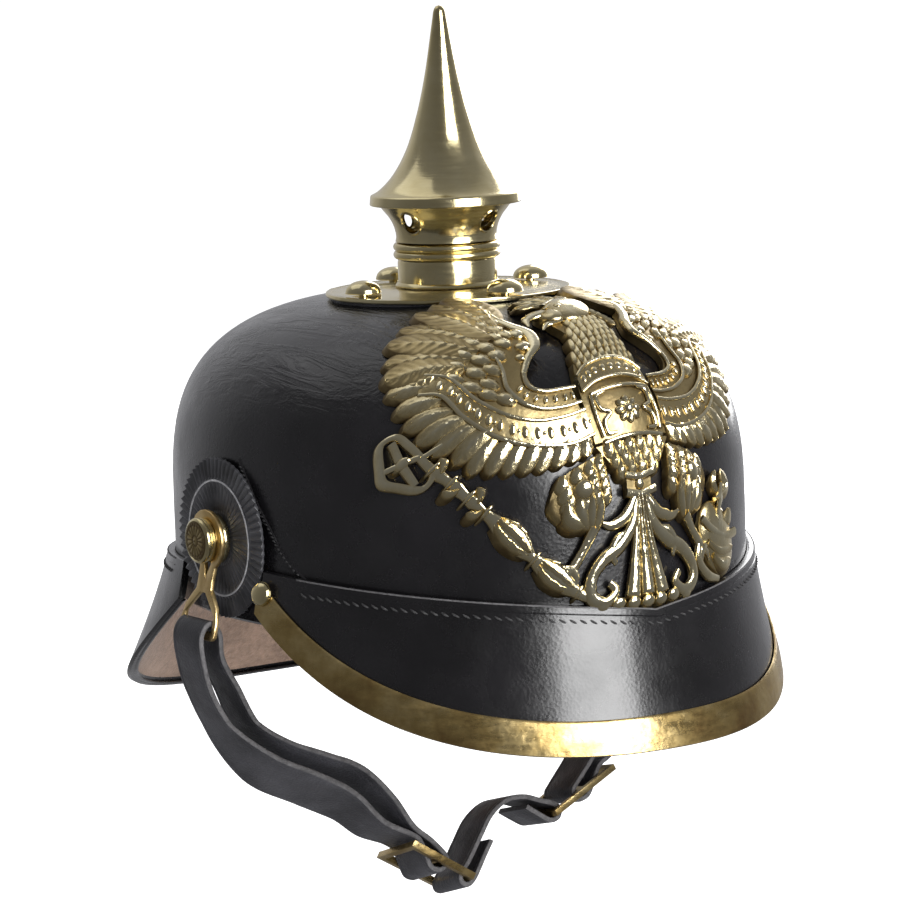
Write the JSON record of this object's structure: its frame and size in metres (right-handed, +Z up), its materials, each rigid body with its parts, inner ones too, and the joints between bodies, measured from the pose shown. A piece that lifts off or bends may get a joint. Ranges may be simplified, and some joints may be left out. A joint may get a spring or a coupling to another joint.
{
  "type": "spiked leather parade helmet",
  "caption": "Black leather helmet with brass spike on a round crown plate, eagle front badge, trimmed front visor, rear visor, side cockades and a buckled chin strap.",
  "frame": {"origin": "centre of the skull rim, in the plane where the helmet sits on a head", "axes": "+Z up to the spike tip, -Y to the front visor, +X to the wearer's left side"},
  "size_m": [0.206, 0.2569, 0.2975],
  "materials": {
    "brass": "polished stamped sheet, darker in the recesses",
    "aged_brass": "satin, patinated",
    "black_leather": "glossy black varnish with fine wrinkles",
    "strap_leather": "matte charcoal with lighter cut edges",
    "brown_leather": "unfinished, matte",
    "black_lacquer": "black lacquer, pressed radial pleats",
    "linen": "undyed cord"
  },
  "bodies": {
    "helmet": {"trim_stud_right": "brass", "trim_stud_left": "brass", "base_plate": "brass", "base_stud_1": "brass", "base_stud_2": "brass", "base_stud_3": "brass", "base_stud_4": "brass", "spike_neck": "brass", "front_badge": "brass", "rear_spine": "brass", "spine_rivet_1": "brass", "spine_rivet_2": "brass", "knob_bushing_right": "brass", "knob_bushing_left": "brass", "strap_knob_right": "brass", "strap_knob_left": "brass", "visor_trim": "aged_brass", "base_nut_1": "aged_brass", "base_nut_2": "aged_brass", "base_nut_3": "aged_brass", "base_nut_4": "aged_brass", "badge_nut_right": "aged_brass", "badge_nut_left": "aged_brass", "knob_nut_right": "aged_brass", "knob_nut_left": "aged_brass", "skull_shell": "black_leather", "front_visor": "black_leather", "rear_visor": "black_leather", "sweatband": "brown_leather", "liner": "brown_leather", "cockade_right": "black_lacquer", "cockade_left": "black_lacquer", "liner_cord": "linen"},
    "spike_ring": {"bead_ring": "brass"},
    "spike": {"spike_collar": "brass", "spike_cone": "brass"},
    "chin_strap": {"strap_lug_right": "brass", "strap_lug_left": "brass", "strap_right": "strap_leather", "strap_left": "strap_leather", "strap_middle": "strap_leather", "buckle_right": "brass", "buckle_left": "brass"}
  },
  "joints": [
    {"name": "spike_rise", "type": "slide", "parent": "helmet", "child": "spike_ring", "axis": [0, 0, 1], "range_m": [0, 0.008]},
    {"name": "spike_unscrew", "type": "hinge", "parent": "spike_ring", "child": "spike", "pos_m": [0, 0, 0.115], "axis": [0, 0, 1], "range_deg": [0, 1440]},
    {"name": "chinstrap_swing", "type": "hinge", "parent": "helmet", "child": "chin_strap", "pos_m": [0, 0.002, 0.0262], "axis": [1, 0, 0], "range_deg": [-30, 35]}
  ],
  "couplings": [
    {"joint": "spike_rise", "follows": "spike_unscrew", "m_per_rad": 0.00031831}
  ]
}
